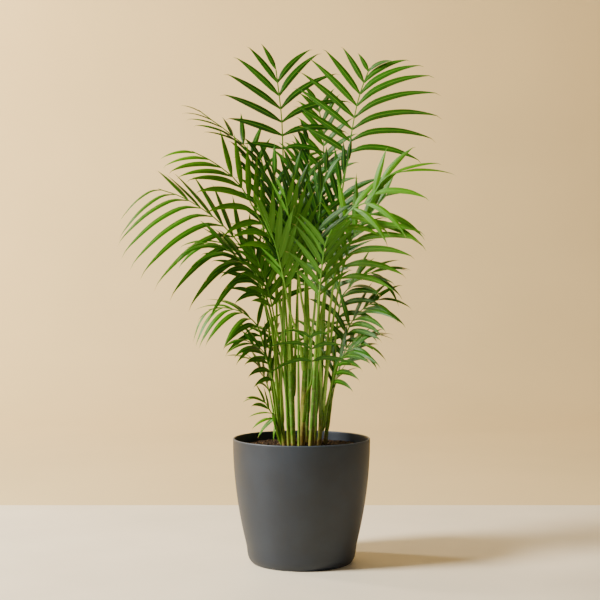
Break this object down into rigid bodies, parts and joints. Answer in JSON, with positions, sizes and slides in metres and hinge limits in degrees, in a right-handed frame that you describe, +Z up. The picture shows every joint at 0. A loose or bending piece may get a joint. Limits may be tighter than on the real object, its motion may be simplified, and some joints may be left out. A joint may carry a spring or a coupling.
{
  "type": "potted palm",
  "caption": "Young areca palm with arching feather fronds on short canes, standing in a round tapered charcoal plastic pot.",
  "frame": {"origin": "centre of the pot's flat underside, on the surface it stands on", "axes": "+Z up along the pot's axis, -Y towards the front, +X to the right seen from the front"},
  "size_m": [0.5118, 0.3526, 0.8424],
  "materials": {
    "pot_plastic": "matte charcoal, moulded",
    "soil": "moist crumbly potting soil",
    "cane": "smooth waxy yellow-green cane with scars",
    "leaf": "semi-gloss green leaf"
  },
  "bodies": {
    "root": {"pot": "pot_plastic", "soil": "soil", "cane_outer_left": "cane", "cane_left": "cane", "cane_back_left": "cane", "cane_middle_left": "cane", "cane_centre": "cane", "cane_front_left": "cane", "cane_front_right": "cane", "cane_back": "cane", "cane_middle_right": "cane", "cane_right": "cane", "cane_outer_right": "cane", "frond_top_left": "leaf", "frond_top_right": "leaf", "frond_middle": "leaf", "frond_upper_left": "leaf", "frond_back_upper_left": "leaf", "frond_left": "leaf", "frond_middle_left": "leaf", "frond_middle_left_low": "leaf", "frond_inner_left": "leaf", "frond_low_left": "leaf", "frond_lower_left": "leaf", "frond_lower_left_back": "leaf", "frond_bottom_left": "leaf", "frond_seedling": "leaf", "frond_upper_right": "leaf", "frond_right": "leaf", "frond_middle_right": "leaf", "frond_low_right": "leaf", "frond_lower_right": "leaf", "frond_bottom_right": "leaf", "frond_front_left": "leaf", "frond_front": "leaf", "frond_front_right": "leaf", "frond_front_low": "leaf", "frond_core_left": "leaf", "frond_core": "leaf", "frond_core_right": "leaf", "frond_core_back_left": "leaf", "frond_core_back_right": "leaf", "frond_core_back": "leaf", "frond_back_left": "leaf", "frond_back_low_left": "leaf", "frond_back": "leaf", "frond_back_high": "leaf", "frond_back_right": "leaf", "frond_back_low": "leaf", "frond_back_low_right": "leaf", "spear_left": "leaf", "spear_middle": "leaf", "spear_right": "leaf", "spear_front": "leaf", "spear_front_left": "leaf", "spear_front_right": "leaf"}
  },
  "joints": []
}
